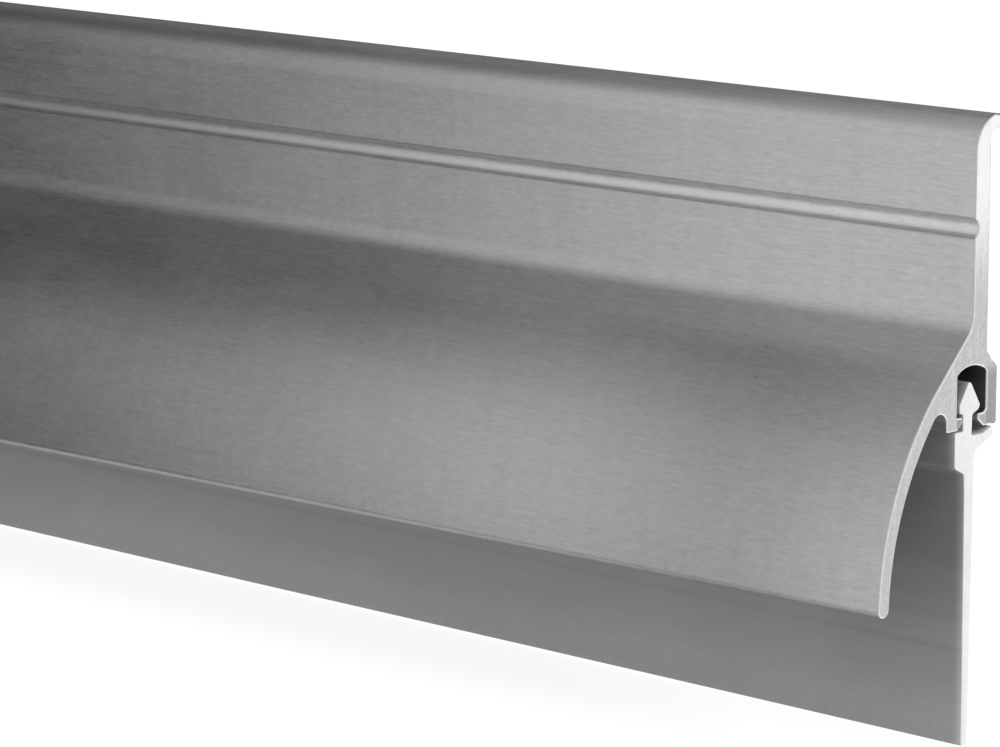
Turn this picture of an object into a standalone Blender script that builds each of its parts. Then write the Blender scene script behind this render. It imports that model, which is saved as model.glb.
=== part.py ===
"""Surface-mounted door sweep.

An aluminium carrier extrusion with a drip skirt fastens to the face of a door.
A flexible vinyl insert hangs in the T-slot on its underside and wipes the
threshold. Screws with flat washers hold the carrier through upright slots, so
the sweep can be set up or down before the screws are tightened.

Frame: +X along the sweep, +Y back towards the door, +Z up. The origin is at
mid-length, on the plane of the door's face, near mid-height of the lower rear
pad. Dimensions are in millimetres and are scaled to metres by MM.
"""
import math

import bmesh
import bpy
from mathutils import Vector

MM = 0.001

# ---- Overall ------------------------------------------------------------
LENGTH = 914.4            # a 36 in sweep
TOP_Z = 22.5              # top edge of the flange
FIN_TIP_Z = -28.3         # bottom edge of the vinyl fin

# ---- Flange -------------------------------------------------------------
FLANGE_FRONT_Y = -3.20
FLANGE_BACK_Y = -1.37     # relieved, so only the two pads touch the door
TOP_FRONT_R = 2.90        # rounded top front edge
NIB_BOTTOM_Z = 21.65      # upper pad, a small nib that reaches the door
NIB_ROOT_Z = 20.85
GROOVE_Z = 13.65          # drill guide groove, on the line of the slots
GROOVE_DEPTH = 0.45
GROOVE_R = 1.00
GROOVE_LIP_R = 0.12
GROOVE_ARC_SHARE = 0.66   # part of the groove's arc drawn between its lips

# ---- Lower rear pad and hook --------------------------------------------
PAD_TOP_Z = 2.25
PAD_BOTTOM_Z = -2.36
PAD_ROOT_Z = 3.60         # chamfer from the pad to the back of the flange
HOOK_TIP_Y = -2.37
HOOK_TOP_Z = -1.28
HOOK_TIP_LOW_Z = -1.75
HOOK_BEVEL_Y = 0.75       # tip to the foot of the hook's lower bevel
HOOK_CHAMFER_Y = 0.30     # chamfer between the hook's top and the slot's rear wall
HOOK_CHAMFER_Z = 0.25

# ---- T-slot -------------------------------------------------------------
SLOT_FRONT_Y = -5.15
SLOT_REAR_Y = -1.33
SLOT_ROOF_Z = 2.72        # crown of the arched roof
SLOT_ROOF_R = 3.50
SLOT_ROOF_CORNER_R = 0.35

# ---- Front leg ----------------------------------------------------------
LEG_FRONT_Y = -6.40
LEG_BOTTOM_Z = -2.30
LEG_NOSE_Y = -4.42        # lip that turns in to hold the dart
LEG_NOSE_TOP_Z = -1.32
LEG_NOSE_LOW_Z = -1.75
LEG_BEVEL_Y = 0.62        # nose to the foot of its lower bevel

# ---- Drip skirt ---------------------------------------------------------
SKIRT_FILLET_R = 2.70     # concave, flange face to the 45 degree slope
SKIRT_R = 25.20           # outer radius of the curved face
SKIRT_CENTRE = (10.48, -16.16)  # centre of the skirt's arcs, (y, z)
SKIRT_THICK = 1.30
LIP_Z = -15.25            # centre of the rounded lip
LIP_TRIM = 15.0           # degrees left off each end of the lip's half circle
ARCH_R = 0.90             # arch between the skirt and the leg
ARCH_TRIM = 18.0          # degrees left off the skirt end of the arch

# ---- Screw slots --------------------------------------------------------
SCREW_COUNT = 6
SCREW_PITCH = 132.08
SCREW_X = [(i - (SCREW_COUNT - 1) / 2) * SCREW_PITCH for i in range(SCREW_COUNT)]
HOLE_WIDTH = 4.20
HOLE_LENGTH = 8.70        # end to end, upright
HOLE_OVERRUN = 2.00       # cutter past the flange's face and the door plane

# ---- Vinyl insert -------------------------------------------------------
DART_Y = -3.56            # tip of the dart
DART_TIP_Z = 1.68
NECK_FRONT_Y = -4.10
NECK_REAR_Y = -3.12
BASE_FRONT_Y = -5.38
BASE_REAR_Y = -2.80
BASE_TOP_Z = -2.68
WING_TOP_Z = BASE_TOP_Z - 0.06
ROOT_BOTTOM_Z = -5.35
WING_TIP_Y = -0.45
WING_TIP_Z = -3.22

# ---- Fin ----------------------------------------------------------------
FIN_AXIS_Y = -3.43        # bending axis
FIN_AXIS_Z = -6.30
FIN_TOP_THICK = 1.24
FIN_TIP_THICK = 0.76
FIN_TIP_R = 0.12

# ---- Washers and screws -------------------------------------------------
CLEAR = 0.25              # gap between stacked pieces
WASHER_OD = 9.50
WASHER_ID = 4.10
WASHER_THICK = 1.00
WASHER_EASE = 0.12        # bevel on the outer edges
WASHER_STEPS = 28
SHANK_D = 3.50
SHANK_LENGTH = 19.05      # 3/4 in under the head
POINT_LENGTH = 3.60
POINT_MID_LENGTH = 0.45   # mid station, as a share of the point's length from its tip
POINT_MID_RADIUS = 0.62   # and as a share of the shank's radius
SCREW_STEPS = 24
HEAD_D = 6.90
HEAD_H = 2.10
HEAD_RIM_H = 0.55         # height at which the dome meets the rim
HEAD_DOME_STEPS = 6
HEAD_RADIUS_POWER = 0.75  # these two powers flatten the dome into a pan shape
HEAD_HEIGHT_POWER = 0.80
HEAD_EDGE_H = 0.18        # bevel round the underside
HEAD_EDGE_IN = 0.15
RECESS_SPAN = 3.60        # cross recess in the head
RECESS_SLOT = 0.90
RECESS_DEPTH = 1.30
RECESS_TAPER = 0.55       # size of the floor against the mouth
RECESS_OVERRUN = 0.40     # cutter in front of the head

WASHER_Y = FLANGE_FRONT_Y - CLEAR
HEAD_Y = WASHER_Y - WASHER_THICK - CLEAR

# ---- Shading ------------------------------------------------------------
ROUNDING_STEP = 22.5      # widest step round a corner, degrees
EXTRUSION_SHARP = 24      # edges sharper than these angles stay crisp, degrees
TURNED_SHARP = 35


# ---- Outline helpers ----------------------------------------------------
def arc(cy, cz, radius, start, end, steps):
    """steps + 1 unrounded corners on an arc about (cy, cz), angles in degrees."""
    points = []
    for i in range(steps + 1):
        angle = math.radians(start + (end - start) * i / steps)
        points.append((cy + radius * math.cos(angle), cz + radius * math.sin(angle), 0.0))
    return points


def rounded(corners):
    """Closed (y, z) outline through (y, z, radius) corners, each one rounded."""
    outline = []
    for i, (y, z, radius) in enumerate(corners):
        if radius <= 0.0:
            outline.append((y, z))
            continue
        corner = Vector((y, z))
        before = (Vector(corners[i - 1][:2]) - corner).normalized()
        after = (Vector(corners[(i + 1) % len(corners)][:2]) - corner).normalized()
        half = before.angle(after) / 2.0
        reach = radius / math.tan(half)
        centre = corner + (before + after).normalized() * (radius / math.sin(half))
        start = corner + before * reach - centre
        end = corner + after * reach - centre
        side = 1.0 if start.x * end.y - start.y * end.x > 0 else -1.0
        turn = math.pi - 2.0 * half
        steps = max(2, math.ceil(math.degrees(turn) / ROUNDING_STEP))
        for k in range(steps + 1):
            angle = side * turn * k / steps
            cos, sin = math.cos(angle), math.sin(angle)
            outline.append((centre.x + start.x * cos - start.y * sin,
                            centre.y + start.x * sin + start.y * cos))
    return outline


def without_repeats(outline, least=0.01):
    """Drops points that fall on the one before."""
    kept = []
    for point in outline:
        if not kept or math.dist(point, kept[-1]) > least:
            kept.append(point)
    if math.dist(kept[0], kept[-1]) <= least:
        kept.pop()
    return kept


# ---- Mesh and object helpers --------------------------------------------
def material(name, colour, roughness, metallic):
    mat = bpy.data.materials.new(name)
    mat.use_nodes = True
    bsdf = mat.node_tree.nodes["Principled BSDF"]
    bsdf.inputs["Base Color"].default_value = (*colour, 1.0)
    bsdf.inputs["Roughness"].default_value = roughness
    bsdf.inputs["Metallic"].default_value = metallic
    mat.diffuse_color = (*colour, 1.0)
    return mat


def finish(bm, name, mat=None, sharp_angle=None):
    """Turns bm into a mesh, shaded smooth if a sharp angle is given."""
    bmesh.ops.recalc_face_normals(bm, faces=bm.faces)
    mesh = bpy.data.meshes.new(name)
    bm.to_mesh(mesh)
    bm.free()
    if mat is not None:
        mesh.materials.append(mat)
    if sharp_angle is not None:
        mesh.shade_smooth()
        mesh.set_sharp_from_angle(angle=math.radians(sharp_angle))
    return mesh


def add_object(name, data, location=(0.0, 0.0, 0.0), parent=None):
    """Links a new object, with its location in millimetres."""
    obj = bpy.data.objects.new(name, data)
    obj.location = [value * MM for value in location]
    obj.parent = parent
    bpy.context.scene.collection.objects.link(obj)
    return obj


def add_empty(name, location=(0.0, 0.0, 0.0), parent=None):
    obj = add_object(name, None, location, parent)
    obj.empty_display_size = 0.01
    return obj


def add_prism(bm, points, shift):
    """Adds a prism from a ring of points, and returns its far vertices."""
    face = bm.faces.new([bm.verts.new(Vector(point) * MM) for point in points])
    grown = bmesh.ops.extrude_face_region(bm, geom=[face])
    far = [item for item in grown["geom"] if isinstance(item, bmesh.types.BMVert)]
    bmesh.ops.translate(bm, verts=far, vec=Vector(shift) * MM)
    return far


def extrusion(name, outline, mat, origin_y=0.0, origin_z=0.0):
    """A (y, z) outline, run the sweep's length along X and centred on x = 0."""
    bm = bmesh.new()
    points = [(-LENGTH / 2.0, y - origin_y, z - origin_z)
              for y, z in without_repeats(outline)]
    add_prism(bm, points, (LENGTH, 0.0, 0.0))
    return finish(bm, name, mat, EXTRUSION_SHARP)


def turned(name, profile, steps, mat, closed=False):
    """A profile of (radius, y) points spun about Y: a closed loop, or open
    with both ends on the axis."""
    bm = bmesh.new()
    verts = [bm.verts.new((radius * MM, y * MM, 0.0)) for radius, y in profile]
    edges = [bm.edges.new(pair) for pair in zip(verts, verts[1:])]
    if closed:
        edges.append(bm.edges.new((verts[-1], verts[0])))
    bmesh.ops.spin(bm, geom=verts + edges, cent=(0, 0, 0), axis=(0, 1, 0),
                   angle=2.0 * math.pi, steps=steps, use_merge=True)
    bmesh.ops.remove_doubles(bm, verts=bm.verts, dist=1e-7)
    return finish(bm, name, mat, TURNED_SHARP)


def cut(obj, cutter):
    cutter.hide_render = True
    cutter.display_type = "WIRE"
    mod = obj.modifiers.new("cut_" + cutter.name, "BOOLEAN")
    mod.operation = "DIFFERENCE"
    mod.solver = "EXACT"
    mod.object = cutter


# ---- Carrier ------------------------------------------------------------
def flange_corners():
    """Lower rear pad, back of the flange, nib, top and grooved front face."""
    groove_half = math.sqrt(GROOVE_R ** 2 - (GROOVE_R - GROOVE_DEPTH) ** 2)
    groove_y = FLANGE_FRONT_Y + GROOVE_DEPTH - GROOVE_R
    groove_angle = GROOVE_ARC_SHARE * math.degrees(math.asin(groove_half / GROOVE_R))
    return [
        # Lower rear pad, the face that bears on the door.
        (0.0, PAD_BOTTOM_Z, 0.25),
        (0.0, PAD_TOP_Z, 0.25),
        (FLANGE_BACK_Y, PAD_ROOT_Z, 0.40),
        # Back of the flange and the upper nib.
        (FLANGE_BACK_Y, NIB_ROOT_Z, 0.30),
        (0.0, NIB_BOTTOM_Z, 0.12),
        (0.0, TOP_Z, 0.20),
        # Rounded top front edge.
        *arc(FLANGE_FRONT_Y + TOP_FRONT_R, TOP_Z - TOP_FRONT_R, TOP_FRONT_R, 90.0, 180.0, 9),
        # Drill guide groove.
        (FLANGE_FRONT_Y, GROOVE_Z + groove_half, GROOVE_LIP_R),
        *arc(groove_y, GROOVE_Z, GROOVE_R, groove_angle, -groove_angle, 4),
        (FLANGE_FRONT_Y, GROOVE_Z - groove_half, GROOVE_LIP_R),
    ]


def skirt_corners():
    """Slope, curved face, lip and inside of the skirt, up to the leg."""
    cy, cz = SKIRT_CENTRE
    # The slope is z = y + slope_offset, tangent to the curved face.
    slope_offset = SKIRT_R * math.sqrt(2.0) + cz - cy
    inner_r = SKIRT_R - SKIRT_THICK
    mid_r = SKIRT_R - SKIRT_THICK / 2.0

    lip_angle = 180.0 - math.degrees(math.asin((LIP_Z - cz) / mid_r))
    lip_y = cy + mid_r * math.cos(math.radians(lip_angle))

    # The arch is tangent to the skirt's inner face and to the leg's front.
    arch_y = LEG_FRONT_Y - ARCH_R
    arch_z = cz + math.sqrt((inner_r - ARCH_R) ** 2 - (arch_y - cy) ** 2)
    arch_angle = math.degrees(math.atan2(arch_z - cz, arch_y - cy))
    return [
        # Concave fillet to the slope, then the curved face.
        (FLANGE_FRONT_Y, FLANGE_FRONT_Y + slope_offset, SKIRT_FILLET_R),
        *arc(cy, cz, SKIRT_R, 135.0, lip_angle, 12),
        # Rounded lip.
        *arc(lip_y, LIP_Z, SKIRT_THICK / 2.0,
             lip_angle + LIP_TRIM, lip_angle + 180.0 - LIP_TRIM, 8),
        # Inner face, then the arch over to the leg.
        *arc(cy, cz, inner_r, lip_angle, arch_angle, 12),
        *arc(arch_y, arch_z, ARCH_R, arch_angle - ARCH_TRIM, 0.0, 7),
    ]


def slot_corners():
    """Front leg, arched T-slot and rear hook."""
    roof_y = (SLOT_FRONT_Y + SLOT_REAR_Y) / 2.0
    roof_half = (SLOT_REAR_Y - SLOT_FRONT_Y) / 2.0
    roof_angle = math.degrees(math.asin(roof_half / SLOT_ROOF_R))
    roof = arc(roof_y, SLOT_ROOF_Z - SLOT_ROOF_R, SLOT_ROOF_R,
               90.0 + roof_angle, 90.0 - roof_angle, 10)
    roof_edge_z = roof[0][1]
    return [
        # Leg, with the lip that turns in under the dart.
        (LEG_FRONT_Y, LEG_BOTTOM_Z, 0.20),
        (LEG_NOSE_Y - LEG_BEVEL_Y, LEG_BOTTOM_Z, 0.20),
        (LEG_NOSE_Y, LEG_NOSE_LOW_Z, 0.12),
        (LEG_NOSE_Y, LEG_NOSE_TOP_Z, 0.15),
        (SLOT_FRONT_Y, LEG_NOSE_TOP_Z, 0.15),
        # Arched roof, between its rounded corners.
        (SLOT_FRONT_Y, roof_edge_z, SLOT_ROOF_CORNER_R),
        *roof[1:-1],
        (SLOT_REAR_Y, roof_edge_z, SLOT_ROOF_CORNER_R),
        # Rear wall of the slot and the hook.
        (SLOT_REAR_Y, HOOK_TOP_Z + HOOK_CHAMFER_Z, 0.12),
        (SLOT_REAR_Y - HOOK_CHAMFER_Y, HOOK_TOP_Z, 0.12),
        (HOOK_TIP_Y, HOOK_TOP_Z, 0.15),
        (HOOK_TIP_Y, HOOK_TIP_LOW_Z, 0.20),
        (HOOK_TIP_Y + HOOK_BEVEL_Y, PAD_BOTTOM_Z, 0.20),
    ]


def add_slot_cutter():
    """Upright obround prisms along Y, one at each screw."""
    bm = bmesh.new()
    radius = HOLE_WIDTH / 2.0
    end_z = HOLE_LENGTH / 2.0 - radius
    ring = arc(0.0, end_z, radius, 0.0, 180.0, 9) + arc(0.0, -end_z, radius, 180.0, 360.0, 9)
    front_y = FLANGE_FRONT_Y - HOLE_OVERRUN
    for x in SCREW_X:
        points = [(x + dx, front_y, GROOVE_Z + dz) for dx, dz, _ in ring]
        add_prism(bm, points, (0.0, HOLE_OVERRUN - front_y, 0.0))
    return add_object("slot_cutter", finish(bm, "slot_cutter"))


def build_carrier(mat):
    # Counter-clockwise in (y, z), from the foot of the lower rear pad.
    outline = rounded(flange_corners() + skirt_corners() + slot_corners())
    carrier = add_object("carrier_extrusion", extrusion("carrier_extrusion", outline, mat))
    cut(carrier, add_slot_cutter())


# ---- Vinyl insert -------------------------------------------------------
def root_outline():
    """Dart, neck, base and rear wing, from (y, z, radius) corners."""
    return rounded([
        # Rear of the base and the wing.
        (BASE_REAR_Y, ROOT_BOTTOM_Z, 0.0),
        (BASE_REAR_Y, -4.30, 0.35),
        (WING_TIP_Y, WING_TIP_Z, 0.10),
        (WING_TIP_Y - 0.42, WING_TOP_Z, 0.12),
        # Rear of the neck.
        (NECK_REAR_Y - 0.08, WING_TOP_Z, 0.25),
        (NECK_REAR_Y, -1.22, 0.20),
        # Dart, over its tip from rear to front.
        (-2.34, -0.92, 0.10),
        (-2.15, -0.54, 0.15),
        (DART_Y, DART_TIP_Z, 0.30),
        (-4.85, -0.34, 0.20),
        (-4.80, -0.94, 0.12),
        # Front of the neck and the base.
        (NECK_FRONT_Y, -1.12, 0.15),
        (NECK_FRONT_Y, BASE_TOP_Z + 0.04, 0.20),
        (BASE_FRONT_Y, BASE_TOP_Z, 0.15),
        (BASE_FRONT_Y + 0.03, ROOT_BOTTOM_Z, 0.50),
    ])


def fin_outline():
    """Half-round top on the bending axis, tapering to the tip."""
    tip_half = FIN_TIP_THICK / 2.0
    return rounded([
        *arc(FIN_AXIS_Y, FIN_AXIS_Z, FIN_TOP_THICK / 2.0, 0.0, 180.0, 10),
        (FIN_AXIS_Y - tip_half, FIN_TIP_Z, FIN_TIP_R),
        (FIN_AXIS_Y + tip_half, FIN_TIP_Z, FIN_TIP_R),
    ])


def build_insert(mat):
    """The insert slides along the T-slot; the fin bends about its top axis."""
    track = add_empty("insert_track")
    root = extrusion("vinyl_insert_root", root_outline(), mat)
    add_object("vinyl_insert_root", root, parent=track)
    axis = add_empty("fin_axis", (0.0, FIN_AXIS_Y, FIN_AXIS_Z), track)
    fin = extrusion("vinyl_insert_fin", fin_outline(), mat, FIN_AXIS_Y, FIN_AXIS_Z)
    add_object("vinyl_insert_fin", fin, parent=axis)


# ---- Washers and screws -------------------------------------------------
def washer_mesh(mat):
    """A flat ring with eased outer edges, its rear face on y = 0."""
    outer, inner = WASHER_OD / 2.0, WASHER_ID / 2.0
    section = [
        (inner, 0.0),
        (outer - WASHER_EASE, 0.0),
        (outer, -WASHER_EASE),
        (outer, -WASHER_THICK + WASHER_EASE),
        (outer - WASHER_EASE, -WASHER_THICK),
        (inner, -WASHER_THICK),
    ]
    return turned("flat_washer", section, WASHER_STEPS, mat, closed=True)


def screw_mesh(mat):
    """Pan head, plain shank at the thread's outer size and a gimlet point.
    The underside of the head is on y = 0 and the point runs to +Y."""
    head_r, shank_r = HEAD_D / 2.0, SHANK_D / 2.0
    profile = [(0.0, -HEAD_H)]
    for i in range(1, HEAD_DOME_STEPS + 1):
        angle = math.radians(90.0 * i / HEAD_DOME_STEPS)
        rise = (HEAD_H - HEAD_RIM_H) * math.cos(angle) ** HEAD_HEIGHT_POWER
        profile.append((head_r * math.sin(angle) ** HEAD_RADIUS_POWER, -HEAD_RIM_H - rise))
    profile += [
        (head_r, -HEAD_EDGE_H),
        (head_r - HEAD_EDGE_IN, 0.0),
        (shank_r, 0.0),
        (shank_r, SHANK_LENGTH - POINT_LENGTH),
        (shank_r * POINT_MID_RADIUS, SHANK_LENGTH - POINT_LENGTH * POINT_MID_LENGTH),
        (0.0, SHANK_LENGTH),
    ]
    return turned("pan_head_screw", profile, SCREW_STEPS, mat)


def add_recess_cutter(name, location, parent):
    """Tapered cross that forms the drive recess."""
    bm = bmesh.new()
    w, h = RECESS_SLOT / 2.0, RECESS_SPAN / 2.0
    cross = [(w, h), (-w, h), (-w, w), (-h, w), (-h, -w), (-w, -w),
             (-w, -h), (w, -h), (w, -w), (h, -w), (h, w), (w, w)]
    points = [(x, -(HEAD_H + RECESS_OVERRUN), z) for x, z in cross]
    floor = add_prism(bm, points, (0.0, RECESS_DEPTH + RECESS_OVERRUN, 0.0))
    bmesh.ops.scale(bm, verts=floor, vec=(RECESS_TAPER, 1.0, RECESS_TAPER))
    return add_object(name, finish(bm, name), location, parent)


def build_fasteners(mat):
    """Washers and screws stay with the door while the carrier is set up or down."""
    height_set = add_empty("height_set", (0.0, 0.0, GROOVE_Z))
    washer = washer_mesh(mat)
    screw = screw_mesh(mat)
    for i, x in enumerate(SCREW_X, start=1):
        head_place = (x, HEAD_Y, 0.0)
        add_object(f"washer_{i}", washer, (x, WASHER_Y, 0.0), height_set)
        body = add_object(f"screw_{i}", screw, head_place, height_set)
        cut(body, add_recess_cutter(f"recess_cutter_{i}", head_place, height_set))


# ---- Scene --------------------------------------------------------------
for old in list(bpy.data.objects):
    bpy.data.objects.remove(old, do_unlink=True)

build_carrier(material("aluminium", colour=(0.62, 0.62, 0.63), roughness=0.34, metallic=1.0))
build_insert(material("vinyl", colour=(0.22, 0.22, 0.225), roughness=0.50, metallic=0.0))
build_fasteners(material("zinc_steel", colour=(0.66, 0.67, 0.68), roughness=0.30, metallic=1.0))
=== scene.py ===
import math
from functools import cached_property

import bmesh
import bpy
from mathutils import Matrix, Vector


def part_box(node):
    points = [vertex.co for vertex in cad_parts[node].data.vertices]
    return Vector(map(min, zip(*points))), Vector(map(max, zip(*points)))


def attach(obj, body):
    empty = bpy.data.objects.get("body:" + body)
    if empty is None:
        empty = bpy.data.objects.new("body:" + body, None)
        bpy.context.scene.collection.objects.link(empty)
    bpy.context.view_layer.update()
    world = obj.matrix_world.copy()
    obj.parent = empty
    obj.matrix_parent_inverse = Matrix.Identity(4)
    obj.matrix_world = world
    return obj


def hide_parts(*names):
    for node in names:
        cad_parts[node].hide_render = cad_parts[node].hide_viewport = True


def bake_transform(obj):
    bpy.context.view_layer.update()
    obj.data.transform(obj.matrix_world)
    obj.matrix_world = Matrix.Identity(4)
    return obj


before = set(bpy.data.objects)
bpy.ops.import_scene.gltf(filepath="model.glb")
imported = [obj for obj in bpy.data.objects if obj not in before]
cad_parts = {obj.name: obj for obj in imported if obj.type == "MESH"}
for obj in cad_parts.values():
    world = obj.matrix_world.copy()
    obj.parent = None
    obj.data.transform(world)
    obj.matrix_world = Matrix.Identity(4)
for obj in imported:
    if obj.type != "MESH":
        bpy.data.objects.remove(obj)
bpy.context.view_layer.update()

# A surface-mounted door sweep: a satin aluminium carrier with a curved skirt,
# a grey vinyl insert in its slot, and six zinc-plated screws and washers.
# +X runs along the sweep, +Y goes into the door and +Z is up, so the front
# faces -Y. The scene is in metres. Lengths in this script are in millimetres
# and angles in degrees, unless a comment says otherwise.

MM = 0.001
car_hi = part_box("carrier_extrusion")[1]
fin_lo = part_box("vinyl_insert_fin")[0]
washer_boxes = [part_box("washer_%d" % number) for number in range(1, 7)]
HALF = car_hi.x / MM                     # half the sweep's length
TOP = car_hi.z / MM                      # top edge of the flange
TIP = fin_lo.z / MM                      # bottom edge of the fin
SCREW_X = sorted(lo.x / MM + (hi.x - lo.x) / MM / 2.0 for lo, hi in washer_boxes)
GROOVE_Z = (washer_boxes[0][0].z + washer_boxes[0][1].z) / 2.0 / MM
FLANGE_Y = -3.20                         # front face of the flange


# ----------------------------------------------------------------- outlines
def arc(centre_y, centre_z, radius, start, stop, count):
    """Sharp corners (y, z, 0) along an arc, from angle start to angle stop."""
    angles = [math.radians(start + (stop - start) * i / count) for i in range(count + 1)]
    return [(centre_y + radius * math.cos(angle), centre_z + radius * math.sin(angle), 0.0)
            for angle in angles]


def rounded(corners, step=11.0):
    """Closed outline through (y, z, radius) corners, each rounded to its radius
    with a point at least every step degrees."""
    shortest = 0.008                     # closer points are merged
    points = []
    for i, (y, z, radius) in enumerate(corners):
        if radius <= 0.0:
            points.append((y, z))
            continue
        corner = Vector((y, z))
        back = (Vector(corners[i - 1][:2]) - corner).normalized()
        onward = (Vector(corners[(i + 1) % len(corners)][:2]) - corner).normalized()
        half = back.angle(onward) / 2.0
        reach = radius / math.tan(half)
        centre = corner + (back + onward).normalized() * (radius / math.sin(half))
        start = corner + back * reach - centre
        stop = corner + onward * reach - centre
        turn = math.pi - 2.0 * half
        side = 1.0 if start.x * stop.y - start.y * stop.x > 0 else -1.0
        count = max(2, math.ceil(math.degrees(turn) / step))
        for k in range(count + 1):
            angle = side * turn * k / count
            cos, sin = math.cos(angle), math.sin(angle)
            points.append((centre.x + start.x * cos - start.y * sin,
                           centre.y + start.x * sin + start.y * cos))
    kept = []
    for point in points:
        if not kept or math.dist(point, kept[-1]) > shortest:
            kept.append(point)
    if math.dist(kept[0], kept[-1]) <= shortest:
        kept.pop()
    return kept


def densify(outline, longest, bend, fine):
    """Adds points so that no edge is longer than longest, or than fine between
    the two heights of the bend."""
    out = []
    for i, (y0, z0) in enumerate(outline):
        y1, z1 = outline[(i + 1) % len(outline)]
        low, high = min(z0, z1), max(z0, z1)
        cuts = sorted((level - z0) / (z1 - z0) for level in bend if low < level < high)
        stops = [0.0] + cuts + [1.0]
        for start, stop in zip(stops, stops[1:]):
            middle = z0 + (z1 - z0) * (start + stop) / 2.0
            step = fine if bend[0] < middle < bend[1] else longest
            length = math.dist((y0, z0), (y1, z1)) * (stop - start)
            count = max(1, math.ceil(length / step))
            for k in range(count):
                part = start + (stop - start) * k / count
                out.append((y0 + (y1 - y0) * part, z0 + (z1 - z0) * part))
    return out


def inset(outline, depth):
    """The counter-clockwise outline moved inwards by depth."""
    out = []
    for i in range(len(outline)):
        before, point = Vector(outline[i - 1]), Vector(outline[i])
        after = Vector(outline[(i + 1) % len(outline)])
        enter, leave = (point - before).normalized(), (after - point).normalized()
        mitre = Vector((-enter.y, enter.x)) + Vector((-leave.y, leave.x))
        mitre = mitre / max(mitre.length_squared / 2.0, 0.4)
        out.append((point.x + mitre.x * depth, point.y + mitre.y * depth))
    return out


def carrier_outline():
    """Flange, curved skirt in front of it, and the slot for the insert below."""
    # Shallow round groove along the flange's front, on the screw line.
    groove_r, groove_depth = 1.00, 0.45
    groove_half = math.sqrt(groove_r ** 2 - (groove_r - groove_depth) ** 2)
    groove_y = FLANGE_Y + groove_depth - groove_r
    groove_angle = math.degrees(math.asin(groove_half / groove_r))
    # The skirt curves about one centre. A 45 degree slope meets its top, and
    # a full round lip ends it.
    skirt_y, skirt_z, outer, wall = 10.48, -16.16, 25.20, 1.30
    inner, mid = outer - wall, outer - wall / 2.0
    slope = outer * math.sqrt(2.0) + skirt_z - skirt_y
    lip_angle = 180.0 - math.degrees(math.asin((-15.25 - skirt_z) / mid))
    lip_y = skirt_y + mid * math.cos(math.radians(lip_angle))
    lip_z = skirt_z + mid * math.sin(math.radians(lip_angle))
    # Small arch between the skirt's inside and the slot's front leg.
    leg_y, arch_r = -6.40, 0.90
    arch_y = leg_y - arch_r
    arch_z = skirt_z + math.sqrt((inner - arch_r) ** 2 - (arch_y - skirt_y) ** 2)
    arch_angle = math.degrees(math.atan2(arch_z - skirt_z, arch_y - skirt_y))
    # Domed roof of the slot.
    slot_front, slot_rear, roof_r, roof_top = -5.15, -1.33, 3.50, 2.72
    roof_angle = math.degrees(math.asin((slot_rear - slot_front) / 2.0 / roof_r))
    roof = arc((slot_front + slot_rear) / 2.0, roof_top - roof_r, roof_r,
               90.0 + roof_angle, 90.0 - roof_angle, 24)
    crown_r = 2.90                       # rounded top front edge of the flange
    # Corners are (y, z, radius).
    corners = [(0.0, -2.36, 0.25), (0.0, 2.25, 0.25), (-1.37, 3.60, 0.40),
               (-1.37, 20.85, 0.30), (0.0, 21.65, 0.14), (0.0, TOP, 0.20)]
    corners += arc(FLANGE_Y + crown_r, TOP - crown_r, crown_r, 90.0, 180.0, 30)
    corners.append((FLANGE_Y, GROOVE_Z + groove_half, 0.14))
    corners += arc(groove_y, GROOVE_Z, groove_r, groove_angle * 0.72, -groove_angle * 0.72, 14)
    corners.append((FLANGE_Y, GROOVE_Z - groove_half, 0.14))
    corners.append((FLANGE_Y, FLANGE_Y + slope, 2.70))
    corners += arc(skirt_y, skirt_z, outer, 135.0, lip_angle, 40)
    corners += arc(lip_y, lip_z, wall / 2.0, lip_angle + 8.0, lip_angle + 172.0, 18)
    corners += arc(skirt_y, skirt_z, inner, lip_angle, arch_angle, 36)
    corners += arc(arch_y, arch_z, arch_r, arch_angle - 8.0, 0.0, 18)
    corners += [(leg_y, -2.30, 0.22), (-5.04, -2.30, 0.22), (-4.42, -1.75, 0.16),
                (-4.42, -1.32, 0.15), (slot_front, -1.32, 0.15), (slot_front, roof[0][1], 0.35)]
    corners += roof[1:-1]
    corners += [(slot_rear, roof[-1][1], 0.35), (slot_rear, -1.03, 0.12), (-1.63, -1.28, 0.12),
                (-2.37, -1.28, 0.16), (-2.37, -1.75, 0.22), (-1.62, -2.36, 0.22)]
    return rounded(corners)


def insert_outline():
    """Dart, neck, base with rear wing, and the fin, as the one strip it is."""
    fin_y = -3.43                        # middle plane of the fin
    root, tip = 0.62, 0.38               # half the fin's thickness at its two ends
    fin_start, ridge = -6.30, -20.40     # heights of the taper's start and a low step
    part = (ridge - fin_start) / (TIP - fin_start)
    ridge_y = fin_y - root + (root - tip) * part
    # Corners are (y, z, radius).
    corners = [
        (fin_y + tip, TIP, 0.14), (fin_y + root, -6.60, 0.0), (fin_y + root, -4.30, 0.35),
        (-0.42, -3.22, 0.10), (-0.54, -2.49, 0.10), (-1.62, -2.93, 0.15), (-3.20, -2.93, 0.20),
        (-3.12, -1.22, 0.20), (-2.34, -0.92, 0.12), (-2.15, -0.54, 0.18), (-3.56, 1.68, 0.30),
        (-4.85, -0.34, 0.22), (-4.80, -0.94, 0.14), (-4.34, -1.12, 0.15), (-4.34, -2.44, 0.10),
        (-5.38, -2.44, 0.16), (-5.36, -5.32, 0.45), (-4.12, -5.95, 0.30),
        (fin_y - root + 0.01, -7.60, 0.0), (ridge_y - 0.01, ridge + 0.35, 0.15),
        (ridge_y + 0.015, ridge, 0.15), (fin_y - tip, TIP, 0.14)]
    return rounded(corners, step=14.0)


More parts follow.
